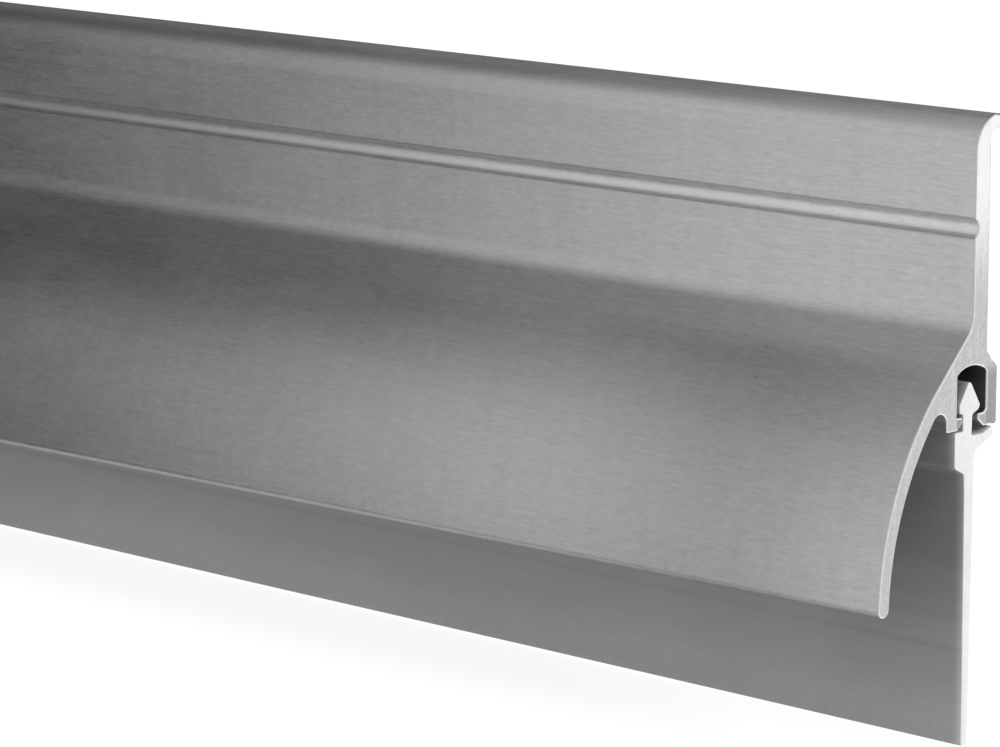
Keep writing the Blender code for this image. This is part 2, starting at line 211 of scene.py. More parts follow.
# ------------------------------------------------------------------ meshes
def link(name, mesh):
    obj = bpy.data.objects.new(name, mesh)
    bpy.context.scene.collection.objects.link(obj)
    return obj


def finished(bm, name):
    """A mesh made from bm, which is freed."""
    mesh = bpy.data.meshes.new(name)
    bm.to_mesh(mesh)
    bm.free()
    return mesh


def set_materials(mesh, *materials):
    mesh.materials.clear()
    for material in materials:
        mesh.materials.append(material)


def sharpen(mesh, angle):
    mesh.shade_smooth()
    mesh.set_sharp_from_angle(angle=math.radians(angle))


def bridge(bm, rings):
    """Joins each ring of vertices to the next with quads."""
    count = len(rings[0])
    for one, two in zip(rings, rings[1:]):
        for i in range(count):
            j = (i + 1) % count
            bm.faces.new((one[i], two[i], two[j], one[j]))


def solid(bm, rings):
    """Joins the rings and caps both ends."""
    bridge(bm, rings)
    bm.faces.new(rings[0])
    bm.faces.new(list(reversed(rings[-1])))


def prism(name, outline, stations, edge):
    """An outline run along X through the stations, with its two end edges
    rounded to radius edge."""
    steps = 3
    lo, hi = stations[0], stations[-1]

    def bevel(degrees):
        angle = math.radians(degrees)
        return edge * math.sin(angle), inset(outline, edge * (1.0 - math.cos(angle)))

    sections = []
    for k in range(steps + 1):
        reach, section = bevel(90.0 * (1.0 - k / steps))
        sections.append((lo + edge - reach, section))
    sections += [(x, outline) for x in stations[1:-1]]
    for k in range(steps + 1):
        reach, section = bevel(90.0 * k / steps)
        sections.append((hi - edge + reach, section))
    bm = bmesh.new()
    rings = [[bm.verts.new((x * MM, y * MM, z * MM)) for y, z in section]
             for x, section in sections]
    for one, two in zip(rings, rings[1:]):
        for i in range(len(outline)):
            j = (i + 1) % len(outline)
            bm.faces.new((one[i], one[j], two[j], two[i]))
    first = bm.faces.new(list(reversed(rings[0])))
    last = bm.faces.new(rings[-1])
    bmesh.ops.recalc_face_normals(bm, faces=bm.faces)
    bmesh.ops.triangulate(bm, faces=[first, last], ngon_method="EAR_CLIP")
    return finished(bm, name)


def paint_ends(mesh, facing, reach):
    """Gives material 1 to faces within reach (metres) of a sawn end whose
    normal's X is more than facing, and material 0 to the rest."""
    for face in mesh.polygons:
        at_end = abs(abs(face.center.x) - HALF * MM) < reach
        face.material_index = 1 if abs(face.normal.x) > facing and at_end else 0


def profile_normals(mesh, outline):
    """Gives the long faces the outline's own smooth normals, so that the slots
    leave no shading mark on a curved face, and keeps the sawn ends flat up to
    their burr."""
    limit = math.radians(40.0)           # a sharper corner keeps its own normals
    count = len(outline)
    table = {}
    for i in range(count):
        before, point = Vector(outline[i - 1]), Vector(outline[i])
        after = Vector(outline[(i + 1) % count])
        enter, leave = point - before, after - point
        if enter.normalized().angle(leave.normalized()) > limit:
            continue
        across = Vector((enter.y, -enter.x)) + Vector((leave.y, -leave.x))
        key = (round(point.x, 3), round(point.y, 3))
        table[key] = Vector((0.0, across.x, across.y)).normalized()
    normals = [(0.0, 0.0, 0.0)] * len(mesh.loops)      # zero keeps the face's own
    offsets = (-0.001, 0.0, 0.001)
    for face in mesh.polygons:
        if face.material_index == 1:
            for corner in face.loop_indices:
                normals[corner] = (math.copysign(1.0, face.normal.x), 0.0, 0.0)
            continue
        if abs(face.normal.x) > 0.02:
            continue
        for corner in face.loop_indices:
            place = mesh.vertices[mesh.loops[corner].vertex_index].co
            y, z = round(place.y / MM, 3), round(place.z / MM, 3)
            keys = [(y, z)] + [(round(y + dy, 3), round(z + dz, 3))
                               for dy in offsets for dz in offsets]
            normal = next((table[key] for key in keys if key in table), None)
            if normal is not None:
                if normal.dot(face.normal) > 0.75:
                    normals[corner] = tuple(normal)
            elif abs(face.normal.z) < 0.02:
                normals[corner] = tuple(face.normal)
    mesh.normals_split_custom_set(normals)


def cut_away(body, tool):
    """Cuts the tool out of the body, removes the tool and returns the body's
    new mesh."""
    cut = body.modifiers.new("cut", "BOOLEAN")
    cut.operation = "DIFFERENCE"
    cut.solver = "EXACT"
    cut.object = tool
    depsgraph = bpy.context.evaluated_depsgraph_get()
    mesh = bpy.data.meshes.new_from_object(body.evaluated_get(depsgraph))
    old = body.data
    body.modifiers.clear()
    body.data = mesh
    bpy.data.meshes.remove(old)
    bpy.data.objects.remove(tool, do_unlink=True)
    return mesh


def slot_cutters():
    """Upright obround cutters with a slight flare where they break the faces."""
    radius, flat = 2.10, 2.25            # end radius and half the straight part
    # (y, growth of the radius) from front to back.
    sections = [(-4.60, 1.55), (-3.05, 0.0), (-1.55, 0.0), (0.20, 1.75)]
    # Top half circle, then bottom one: (cos, sin, side of the middle).
    base = [(math.cos(math.radians(angle)), math.sin(math.radians(angle)), side)
            for start, side in ((0, 1.0), (180, -1.0))
            for angle in range(start, start + 180, 8)]
    bm = bmesh.new()
    for x in SCREW_X:
        solid(bm, [[bm.verts.new(((x + (radius + grow) * cos) * MM, y * MM,
                                  (GROOVE_Z + side * flat + (radius + grow) * sin) * MM))
                    for cos, sin, side in base] for y, grow in sections])
    bmesh.ops.recalc_face_normals(bm, faces=bm.faces)
    return link("slot_cutters", finished(bm, "slot_cutters"))


# ------------------------------------------------------------ shader nodes
class Graph:
    """Adds and links nodes in one node tree. Values may be numbers or sockets."""

    def __init__(self, tree):
        self.tree = tree
        tree.nodes.clear()

    def add(self, kind, **props):
        node = self.tree.nodes.new(kind)
        for key, value in props.items():
            setattr(node, key, value)
        return node

    def put(self, socket, value):
        if isinstance(value, bpy.types.NodeSocket):
            self.tree.links.new(value, socket)
        else:
            socket.default_value = value

    def math(self, operation, one, two=0.0, three=None):
        node = self.add("ShaderNodeMath", operation=operation)
        for socket, value in zip(node.inputs, (one, two, three)):
            if value is not None:
                self.put(socket, value)
        return node.outputs[0]

    def times(self, one, two):
        return self.math("MULTIPLY", one, two)

    def span(self, value, over, levels=(0.0, 1.0), smooth=False):
        """Goes between the two levels as value goes over the two ends."""
        node = self.add("ShaderNodeMapRange", clamp=True,
                        interpolation_type="SMOOTHSTEP" if smooth else "LINEAR")
        self.put(node.inputs[0], value)
        for i, number in enumerate((*over, *levels), start=1):
            node.inputs[i].default_value = number
        return node.outputs[0]


class Surface(Graph):
    """A material's nodes, with a Principled shader at the end."""

    def __init__(self, name):
        self.mat = bpy.data.materials.new(name)
        self.mat.use_nodes = True
        super().__init__(self.mat.node_tree)
        out = self.add("ShaderNodeOutputMaterial")
        self.bsdf = self.add("ShaderNodeBsdfPrincipled")
        self.tree.links.new(self.bsdf.outputs[0], out.inputs["Surface"])

    @cached_property
    def coord(self):
        return self.add("ShaderNodeTexCoord").outputs["Object"]

    def axes(self):
        """The object's own x, y and z, in metres."""
        split = self.add("ShaderNodeSeparateXYZ")
        self.put(split.inputs[0], self.coord)
        return split.outputs

    def noise(self, scale, shift=(0.0, 0.0, 0.0), detail=2.0, rough=0.5, distortion=0.0):
        """Noise with its own scale, per metre, along each axis."""
        mapping = self.add("ShaderNodeMapping")
        mapping.inputs["Scale"].default_value = scale
        mapping.inputs["Location"].default_value = shift
        self.put(mapping.inputs["Vector"], self.coord)
        node = self.add("ShaderNodeTexNoise")
        self.put(node.inputs["Vector"], mapping.outputs[0])
        node.inputs["Scale"].default_value = 1.0
        node.inputs["Detail"].default_value = detail
        node.inputs["Roughness"].default_value = rough
        node.inputs["Distortion"].default_value = distortion
        return node.outputs[0]

    def span_mm(self, value, over, levels=(0.0, 1.0), smooth=False):
        """span of a place, over two places in millimetres."""
        return self.span(value, (over[0] * MM, over[1] * MM), levels, smooth)

    def inside(self, value, low, high, soft):
        """1 between low and high, fading to 0 over soft outside them."""
        low, high, soft = low * MM, high * MM, soft * MM
        return self.times(self.span(value, (low - soft, low), smooth=True),
                          self.span(value, (high, high + soft), (1.0, 0.0), smooth=True))

    def flip(self, value):
        return self.math("SUBTRACT", 1.0, value)

    def swing(self, texture, amount):
        """The texture centred on 0 and scaled to the amount."""
        return self.times(self.math("SUBTRACT", texture, 0.5), amount)

    def vary(self, value, *textures):
        """Adds (texture, amount) pairs, each centred on 0."""
        for texture, amount in textures:
            value = self.math("ADD", value, self.swing(texture, amount))
        return value

    def layer(self, value, *masks):
        """Adds (mask, amount) pairs."""
        for mask, amount in masks:
            value = self.math("ADD", value, self.times(mask, amount))
        return value

    def darken(self, value, mask, by):
        return self.times(value, self.flip(self.times(mask, by)))

    def mix(self, factor, one, two):
        node = self.add("ShaderNodeMix", data_type="FLOAT")
        self.put(node.inputs[0], factor)
        self.put(node.inputs[2], one)
        self.put(node.inputs[3], two)
        return node.outputs[0]

    def grey(self, value, tint=(1.0, 1.0, 1.0)):
        node = self.add("ShaderNodeCombineColor")
        for i in range(3):
            self.put(node.inputs[i], self.times(value, tint[i]))
        return node.outputs[0]

    def ramp(self, value, stops):
        """A smooth grey ramp through (position, level) stops."""
        node = self.add("ShaderNodeValToRGB")
        node.color_ramp.interpolation = "EASE"
        band = node.color_ramp.elements
        while len(band) < len(stops):
            band.new(0.5)
        for element, (position, level) in zip(band, stops):
            element.position = position
            element.color = (level, level, level, 1.0)
        self.put(node.inputs[0], value)
        return node.outputs[0]

    def marks(self, places):
        """Small ragged marks at (x, z, half length, half width, slant)."""
        x, _, z = self.axes()
        ragged = self.swing(self.noise((3400.0, 3400.0, 3400.0), detail=3.0, rough=0.7), 1.8)
        total = None
        for mark_x, mark_z, length, width, slant in places:
            cos, sin = math.cos(math.radians(slant)), math.sin(math.radians(slant))
            dx = self.math("SUBTRACT", x, mark_x * MM)
            dz = self.math("SUBTRACT", z, mark_z * MM)
            along = self.layer(self.times(dx, cos / (length * MM)), (dz, sin / (length * MM)))
            across = self.layer(self.times(dx, -sin / (width * MM)), (dz, cos / (width * MM)))
            square = self.math("ADD", self.times(along, along), self.times(across, across))
            reach = self.math("ADD", self.math("SQRT", square), ragged)
            mark = self.span(reach, over=(0.10, 1.20), levels=(1.0, 0.0), smooth=True)
            total = mark if total is None else self.math("MAXIMUM", total, mark)
        return total

    def bump(self, height, distance, strength):
        """Sets the normal from a height. The distance is in metres."""
        node = self.add("ShaderNodeBump")
        node.inputs["Strength"].default_value = strength
        node.inputs["Distance"].default_value = distance
        self.put(node.inputs["Height"], height)
        self.input("Normal", node.outputs[0])

    def input(self, name, value):
        self.put(self.bsdf.inputs[name], value)


# --------------------------------------------------------------- materials
# Marks on the carrier: (x, z, half length, half width, slant).
SCUFFS = ((HALF - 17.3, 1.95, 1.15, 0.20, -12.0), (HALF - 16.6, -0.15, 1.05, 0.17, -14.0),
          (HALF - 12.6, 2.05, 1.00, 0.15, -8.0), (HALF - 15.2, -0.45, 0.55, 0.16, 10.0),
          (-HALF + 61.0, -4.30, 1.10, 0.20, 33.0))
DENTS = ((HALF - 18.35, 2.35, 0.24, 0.16, -50.0), (HALF - 17.7, 0.22, 0.20, 0.24, -60.0),
         (HALF - 16.0, -0.40, 0.20, 0.12, -20.0), (-HALF + 60.2, -4.60, 0.24, 0.14, 20.0))
# Painted highlight and shade up the groove as (position, level). PLAIN_TONE is the level that
# changes nothing.
PLAIN_TONE = 0.72
GROOVE_LIGHT_AND_SHADE = ((0.06, 0.72), (0.15, 0.60), (0.23, 0.72), (0.34, 1.00),
               (0.50, 0.92), (0.66, 0.84), (0.80, 0.62), (0.93, 0.72))
# Painted shade up the sheltered front of the vinyl, under the skirt, as (position, level).
SKIRT_SHADE_TONE = ((0.0, 1.0), (0.10, 0.97), (0.25, 0.84), (0.45, 0.72), (0.75, 0.64), (1.0, 0.62))


def aluminium_skin():
    """Extruded face: satin, with short broken grain, faint die lines along X,
    soft blotches and a few handling scuffs."""
    net = Surface("aluminium_extruded")
    x, y, z = net.axes()
    streak = net.noise((560.0, 5200.0, 5200.0), detail=4.0, rough=0.66)
    fleck = net.noise((1300.0, 3200.0, 3200.0), shift=(1.0, 3.0, 6.0), detail=3.0, rough=0.62)
    long_line = net.noise((7.0, 2300.0, 2300.0), shift=(3.0, 0.0, 0.0), rough=0.55)
    blotch = net.noise((45.0, 150.0, 150.0), shift=(0.0, 7.0, 2.0), detail=3.0, rough=0.55,
                       distortion=0.4)
    chatter = net.noise((900.0, 130.0, 130.0), shift=(5.0, 1.0, 0.0))
    from_end = net.math("SUBTRACT", HALF * MM, net.math("ABSOLUTE", x))
    grain = net.span_mm(from_end, over=(12.0, 60.0), levels=(0.42, 0.27))
    base = 0.74
    colour = net.vary(base, (streak, grain), (fleck, 0.20), (long_line, 0.07),
                      (blotch, 0.15), (chatter, 0.08))
    scuff = net.marks(SCUFFS)
    dent = net.marks(DENTS)
    colour = net.layer(colour, (scuff, 0.085))
    colour = net.math("SUBTRACT", colour, net.times(dent, 0.22))
    # Painted light in the groove: a painted highlight along its floor and painted shade in its
    # corners.
    place = net.span_mm(z, over=(GROOVE_Z - 1.20, GROOVE_Z + 1.20))
    tone = net.times(net.ramp(place, GROOVE_LIGHT_AND_SHADE), 1.0 / PLAIN_TONE)
    tone = net.mix(net.span_mm(y, over=(-2.70, -2.60), levels=(1.0, 0.0)), 1.0, tone)
    colour = net.times(colour, tone)
    # Painted shade inside the insert's slot, which is also rougher.
    channel = net.times(net.inside(y, low=-5.22, high=-1.27, soft=0.06),
                        net.inside(z, low=-0.95, high=2.85, soft=0.30))
    colour = net.darken(colour, channel, by=0.52)
    # The skirt is darker near each end.
    patch_middle, patch_reach = 16.0, 15.0
    away = net.times(net.math("SUBTRACT", from_end, patch_middle * MM), 1.0 / (patch_reach * MM))
    patch = net.math("EXPONENT", net.times(net.times(away, away), -1.0))
    patch = net.times(patch, net.span_mm(z, over=(3.8, 1.6), smooth=True))
    colour = net.darken(colour, patch, by=0.24)
    # Painted highlight on the rounded top edge.
    crown = net.span_mm(z, over=(20.3, 21.3), levels=(0.0, 0.30), smooth=True)
    colour = net.times(colour, net.math("ADD", 1.0, crown))
    # The back is rougher, with painted shade on it, and a painted shade line along its sawn back
    # edge.
    open_face = net.flip(channel)
    back = net.times(net.span_mm(y, over=(-1.60, -1.42)), open_face)
    end_shade_line = net.span_mm(from_end, over=(0.06, 0.17), levels=(1.0, 0.0))
    colour = net.darken(colour, back, by=0.30)
    back_end_shade = net.times(net.times(back, end_shade_line), net.span_mm(z, over=(2.2, 3.4)))
    colour = net.darken(colour, back_end_shade, by=0.75)
    # The flange's front has a fainter painted shadow line at its sawn edge.
    front = net.times(net.span_mm(z, over=(4.0, 6.0)),
                      net.span_mm(y, over=(-2.2, -2.0), levels=(1.0, 0.0)))
    colour = net.darken(colour, net.times(end_shade_line, front), by=0.25)
    # The lip turns under: rougher, so that it fades out softly, with a painted highlight where
    # it starts to turn and painted shade on its underside.
    normal = net.add("ShaderNodeSeparateXYZ")
    net.put(normal.inputs[0], net.add("ShaderNodeTexCoord").outputs["Normal"])
    lip_highlight, underside_shade = [
        net.times(net.span(normal.outputs[2], over=facing, smooth=True),
                  net.span_mm(y, over=(-12.6, -12.9)))
        for facing in ((-0.10, -0.45), (-0.35, -0.85))]
    colour = net.times(colour, net.layer(1.0, (lip_highlight, 0.30)))
    colour = net.darken(colour, underside_shade, by=0.45)
    brightest, base_rough = 0.97, 0.32
    net.input("Base Color", net.grey(net.math("MINIMUM", colour, brightest)))
    net.input("Metallic", 1.0)
    rough = net.vary(base_rough, (streak, 0.14), (blotch, 0.10))
    net.input("Roughness", net.layer(rough, (channel, 0.25), (back, 0.20), (lip_highlight, 0.45)))
    # Highlights stretch across the grain, which runs along X.
    net.input("Anisotropic", 0.75)
    net.input("Anisotropic Rotation", 0.25)
    tangent = net.add("ShaderNodeCombineXYZ")
    tangent.inputs[0].default_value = 1.0
    net.input("Tangent", tangent.outputs[0])
    height = net.layer(net.times(streak, 0.6), (long_line, 0.4), (fleck, 0.3), (scuff, 0.35))
    net.bump(height, distance=0.000014, strength=0.7)
    return net.mat


def aluminium_cut():
    """Saw-cut end, with faint upright saw lines and a painted sheen: bright at the top of the
    flange, greyer below it, and darkest on the legs of the slot."""
    net = Surface("aluminium_cut")
    x, y, z = net.axes()
    saw = net.noise((200.0, 5200.0, 160.0), detail=3.0, rough=0.6)
    spot = net.noise((1200.0, 3000.0, 3000.0), shift=(2.0, 0.0, 0.0), detail=3.0, rough=0.65)
    # Darker on the rear leg and on the legs of the slot.
    rear = net.times(net.span_mm(y, over=(-1.65, -1.20), smooth=True),
                     net.span_mm(z, over=(2.8, 1.6), smooth=True))
    legs = net.times(net.inside(y, low=-5.12, high=-1.60, soft=0.05),
                     net.span_mm(z, over=(-0.95, -1.05), smooth=True))
    # Painted sheen: lighter towards the top of the flange.
    colour = net.span_mm(z, over=(7.0, 17.5), levels=(0.64, 1.0), smooth=True)
    colour = net.vary(colour, (saw, 0.30), (spot, 0.34))
    leg_darkening = net.span_mm(y, over=(-3.9, -3.2), levels=(0.42, 0.22))
    darker_parts = net.math("MAXIMUM", net.times(rear, 0.36), net.times(legs, leg_darkening))
    colour = net.times(colour, net.flip(darker_parts))
    # The saw leaves a burr round the section: a painted highlight makes it a bright rim, and
    # painted shade a dark rim at the back.
    from_middle = net.math("ABSOLUTE", x)
    edge = net.span_mm(from_middle, over=(HALF - 0.003, HALF - 0.001), levels=(1.0, 0.0))
    back_rim_shade = net.times(net.span_mm(y, over=(-1.72, -1.60)),
                     net.inside(z, low=3.3, high=20.2, soft=0.4))
    back_rim_shade = net.math("MAXIMUM", back_rim_shade, net.span_mm(y, over=(-0.70, -0.55)))
    colour = net.mix(net.times(edge, net.flip(back_rim_shade)), colour, 1.0)
    colour = net.darken(colour, net.times(edge, back_rim_shade), by=0.72)
    brightest, base_rough = 1.0, 0.46
    net.input("Base Color", net.grey(net.math("MINIMUM", colour, brightest)))
    net.input("Metallic", 1.0)
    net.input("Roughness", net.vary(base_rough, (saw, 0.2)))
    net.bump(net.layer(saw, (spot, 0.5)), distance=0.00002, strength=0.5)
    return net.mat


def vinyl_shading(net, colour):
    """Specks, and painted light and shade: the fin's crease, darker and lighter parts of the
    long faces, dark end rims and light at the sawn ends.
    """
    x, y, z = net.axes()
    speck = net.noise((1300.0, 1300.0, 1300.0), shift=(0.0, 3.0, 9.0), detail=1.0, rough=0.3)
    specks = net.span(speck, over=(0.80, 0.83), levels=(1.0, 0.40), smooth=True)
    colour = net.times(colour, specks)
    # Painted shade along the fin's crease.
    crease = net.inside(z, low=-20.42, high=-20.38, soft=0.42)
    colour = net.darken(colour, crease, by=0.085)
    # Painted shade: sheltered behind the skirt the vinyl is darker, most of all near the ends.
    skirt_shade = net.ramp(net.span_mm(z, over=(-20.0, -10.0)), SKIRT_SHADE_TONE)
    front = net.span_mm(y, over=(-3.60, -3.45), levels=(1.0, 0.0))
    colour = net.times(colour, net.mix(front, 1.0, skirt_shade))
    near_end = net.span_mm(net.math("ABSOLUTE", x), over=(HALF - 16.0, HALF - 6.0), smooth=True)
    band = net.times(
        net.span_mm(z, over=(-26.5, -19.0), levels=(0.0, 0.13), smooth=True),
        net.span_mm(z, over=(-18.0, -15.0), levels=(1.0, 0.0)))
    colour = net.times(colour, net.flip(net.times(near_end, band)))
    # The bottom of the fin is a little lighter.
    bottom = net.span_mm(z, over=(-23.0, -27.0), levels=(1.0, 1.08), smooth=True)
    colour = net.times(colour, bottom)
    # Painted shade: a dark rim at each end, behind the wing and the fin.
    wing = net.times(net.span_mm(y, over=(-2.95, -2.75)), net.span_mm(z, over=(-3.00, -3.15)))
    fin = net.times(net.span_mm(y, over=(-3.40, -3.30)), net.span_mm(z, over=(-4.6, -5.0)))
    rim = net.math("MAXIMUM", wing, fin)
    rim = net.times(rim, net.span_mm(net.math("ABSOLUTE", x), over=(HALF - 0.16, HALF - 0.10)))
    # Painted light near the sawn ends, where light would come through the vinyl.
    glow = net.span_mm(net.math("ABSOLUTE", x), over=(HALF - 1.1, HALF))
    colour = net.layer(colour, (net.math("POWER", glow, 2.0), 0.30))
    return net.darken(colour, rim, by=0.55)


def vinyl(name, base, rough, cut):
    """Soft extruded vinyl: fine bloom, cloudy tone and flow lines."""
    net = Surface(name)
    fine = net.noise((2600.0, 3600.0, 3600.0), rough=0.55)
    cloud = net.noise((70.0, 120.0, 120.0), shift=(1.0, 4.0, 0.0), detail=3.0)
    flow = net.noise((12.0, 900.0, 900.0), shift=(8.0, 0.0, 0.0))
    colour = net.vary(base, (fine, base * 0.22), (cloud, base * 0.24), (flow, base * 0.09))
    if not cut:
        colour = vinyl_shading(net, colour)
    net.input("Base Color", net.grey(colour, tint=(1.0, 1.0, 1.005)))
    net.input("Roughness", net.vary(rough, (cloud, 0.14)))
    net.input("Specular IOR Level", 0.45)
    net.bump(net.layer(net.times(fine, 0.5), (flow, 0.8)), distance=0.00001, strength=0.5)
    return net.mat


def zinc_plate(name, base, rough):
    net = Surface(name)
    grain = net.noise((2600.0, 2600.0, 2600.0), detail=3.0, rough=0.6)
    cloud = net.noise((320.0, 320.0, 320.0), shift=(2.0, 2.0, 5.0), detail=3.0, rough=0.55)
    colour = net.vary(base, (grain, 0.10), (cloud, 0.16))
    rough = net.vary(rough, (cloud, 0.18))
    # Seen in the flange beside it, a fastener is dull: without this each head
    # throws a hot spot on to the fillet below it.
    mirrored_colour, mirrored_rough = 0.22, 0.85
    mirrored = net.add("ShaderNodeLightPath").outputs["Is Glossy Ray"]
    colour = net.mix(mirrored, colour, mirrored_colour)
    rough = net.mix(mirrored, rough, mirrored_rough)
    net.input("Base Color", net.grey(colour, tint=(0.99, 1.0, 1.01)))
    net.input("Metallic", 1.0)
    net.input("Roughness", rough)
    net.bump(grain, distance=0.00001, strength=0.5)
    return net.mat


def floor_material():
    """Pale matt floor. Most of its white is its own, so that only a soft
    contact shadow is left on it."""
    net = Surface("studio_floor")
    net.input("Base Color", (0.34, 0.34, 0.34, 1.0))
    net.input("Roughness", 1.0)
    net.input("Specular IOR Level", 0.0)
    net.input("Emission Color", (1.0, 1.0, 1.0, 1.0))
    net.input("Emission Strength", 0.86)
    return net.mat


mat_skin = aluminium_skin()
mat_cut = aluminium_cut()
mat_vinyl = vinyl("vinyl_grey", base=0.41, rough=0.46, cut=False)
# The sawn ends' vinyl is a lit copy of the vinyl: its lighter base is painted light.
mat_vinyl_cut = vinyl("vinyl_cut", base=0.90, rough=0.55, cut=True)
mat_screw = zinc_plate("zinc_screw", base=0.72, rough=0.28)
mat_washer = zinc_plate("zinc_washer", base=0.68, rough=0.34)


# ----------------------------------------------------------------- carrier
SLOT_MARGIN = 9.0                        # from a screw to the sections beside it


def spring_skirt(mesh):
    """Lowers the skirt's free edge, least of all towards each sawn end."""
    leg_y, start_z, depth = -6.4, -3.0, 12.9   # what moves, and the height it moves over
    drop, run = 1.08, 122.0              # full drop, and how far from an end it is reached
    for vertex in mesh.vertices:
        y, z, end = vertex.co.y / MM, vertex.co.z / MM, HALF - abs(vertex.co.x / MM)
        if y < leg_y and z < start_z:
            set_down = drop * min(1.0, end / run)
            vertex.co.z -= set_down * min(1.0, (start_z - z) / depth) ** 1.3 * MM
    mesh.update()


stations = [-HALF]
for x in SCREW_X:
    stations += [x - SLOT_MARGIN, x + SLOT_MARGIN]
stations.append(HALF)
outline = carrier_outline()
carrier = link("carrier_extrusion_finished",
               prism("carrier_extrusion_finished", outline, stations, edge=0.12))
mesh = cut_away(carrier, slot_cutters())
set_materials(mesh, mat_skin, mat_cut)
paint_ends(mesh, facing=0.10, reach=0.00012)
sharpen(mesh, 32)
profile_normals(mesh, outline)
spring_skirt(mesh)
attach(carrier, "carrier")
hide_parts("carrier_extrusion")


# ------------------------------------------------------------ vinyl insert
def wave_fin(mesh):
    """A slight waviness along the fin, growing from nothing to its tip."""
    start_z = -7.0
    for vertex in mesh.vertices:
        z = vertex.co.z / MM
        if z < start_z:
            depth = (start_z - z) / (start_z - TIP)
            x = vertex.co.x / MM
            wave = 0.050 * math.sin(x / 31.0 + 0.7) + 0.035 * math.sin(x / 13.7 + 2.1)
            vertex.co.y += wave * depth * depth * MM


parts = 100                              # equal lengths along the insert
stations = [-HALF + 2.0 * HALF * i / parts for i in range(parts + 1)]
outline = densify(insert_outline(), longest=0.9, bend=(-9.0, -4.3), fine=0.32)
insert = link("vinyl_insert", prism("vinyl_insert", outline, stations, edge=0.07))
mesh = insert.data
set_materials(mesh, mat_vinyl, mat_vinyl_cut)
wave_fin(mesh)
paint_ends(mesh, facing=0.93, reach=0.00003)
sharpen(mesh, 32)
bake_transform(insert)
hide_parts("vinyl_insert_root", "vinyl_insert_fin")


# ------------------------------------------------------ washers and screws
def washer_mesh():
    """Flat washer with rolled edges, about the origin in X and Z."""
    rear, front = FLANGE_Y - 0.02, FLANGE_Y - 1.08
    outer, inner = 4.75, 2.05
    roll = 0.16                          # radius of the outer edges
    small = roll * 0.6                   # radius of the hole's edges
    # Edge arcs: (centre radius, centre y, arc radius, start angle).
    edges = ((outer - roll, rear - roll, roll, 90.0), (outer - roll, front + roll, roll, 0.0),
             (inner + small, front + small, small, -90.0),
             (inner + small, rear - small, small, -180.0))
    bm = bmesh.new()
    verts = []
    for radius, y, edge, start in edges:
        for k in range(5):
            angle = math.radians(start - 90.0 * k / 4)
            verts.append(bm.verts.new(((radius + edge * math.cos(angle)) * MM,
                                       (y + edge * math.sin(angle)) * MM, 0.0)))
    loop = [bm.edges.new((verts[i], verts[(i + 1) % len(verts)])) for i in range(len(verts))]
    bmesh.ops.spin(bm, geom=verts + loop, cent=(0, 0, 0), axis=(0, 1, 0),
                   angle=2.0 * math.pi, steps=72, use_merge=True)
    bmesh.ops.remove_doubles(bm, verts=bm.verts, dist=1e-8)
    bmesh.ops.recalc_face_normals(bm, faces=bm.faces)
    return finished(bm, "flat_washer")


HEAD_H = 2.10                            # height of a screw's head


def screw_blank():
    """Pan head, threaded shank and gimlet point. The underside of the head is
    on y = 0 and the point is towards +Y."""
    head_r, rim = 3.45, 0.55             # the dome starts at the rim's height
    length, point = 19.05, 3.60          # length below the head, and of the point
    major, minor, pitch = 1.75, 1.28, 1.27
    shank_start = 0.30
    around = 48
    angles = [2.0 * math.pi * i / around for i in range(around)]
    bm = bmesh.new()
    rings = []

    def ring(y, radii):
        rings.append([bm.verts.new((radius * math.cos(angle) * MM, y * MM,
                                    radius * math.sin(angle) * MM))
                      for radius, angle in zip(radii, angles)])

    for i in range(1, 17):
        angle = math.radians(90.0 * i / 16)
        ring(-rim - (HEAD_H - rim) * math.cos(angle) ** 0.8,
             [head_r * math.sin(angle) ** 0.75] * around)
    # Underside of the head and the neck: (y, radius).
    for y, radius in ((-0.22, head_r), (-0.09, head_r - 0.05), (0.0, head_r - 0.16),
                      (0.0, minor + 0.28), (0.12, minor + 0.10)):
        ring(y, [radius] * around)
    rows = int((length - shank_start) / (pitch / 12.0))
    for k in range(rows + 1):
        y = shank_start + (length - shank_start) * k / rows
        taper = 1.0 if y < length - point else max(0.0, (length - y) / point) ** 0.75
        if taper * minor < 0.06:
            break
        rise = min(1.0, max(0.0, (y - 0.5) / 1.6))     # the thread fades in
        radii = []
        for angle in angles:
            phase = (y / pitch - angle / (2.0 * math.pi)) % 1.0
            tooth = min(1.0, max(0.0, 1.0 - abs(phase - 0.5) / 0.30) * 1.18)
            thread = (major - minor) * rise * tooth * min(1.0, taper * 1.4)
            radii.append(minor * taper + thread)
        ring(y, radii)
    tip = bm.verts.new((0.0, length * MM, 0.0))
    crown = bm.verts.new((0.0, -HEAD_H * MM, 0.0))
    bridge(bm, rings)
    for i in range(around):
        j = (i + 1) % around
        bm.faces.new((crown, rings[0][i], rings[0][j]))
        bm.faces.new((tip, rings[-1][j], rings[-1][i]))
    bmesh.ops.recalc_face_normals(bm, faces=bm.faces)
    return finished(bm, "pan_head_screw")


def cross_recess():
    """Cutter for the cross recess, tapering inwards."""
    arm, end = 0.46, 1.85                # half an arm's width, and its reach
    depth = 1.35
    plus = [(arm, end), (-arm, end), (-arm, arm), (-end, arm), (-end, -arm), (-arm, -arm),
            (-arm, -end), (arm, -end), (arm, -arm), (end, -arm), (end, arm), (arm, arm)]
    # (y, scale of the cross) from front to back.
    sections = ((-HEAD_H - 0.6, 1.22), (-HEAD_H + 0.10, 1.0), (-HEAD_H + depth, 0.52))
    bm = bmesh.new()
    solid(bm, [[bm.verts.new((x * scale * MM, y * MM, z * scale * MM)) for x, z in plus]
               for y, scale in sections])
    bmesh.ops.recalc_face_normals(bm, faces=bm.faces)
    return finished(bm, "cross_recess")


def screw_mesh():
    body = link("screw_blank", screw_blank())
    mesh = cut_away(body, link("screw_recess", cross_recess()))
    bpy.data.objects.remove(body, do_unlink=True)
    return mesh


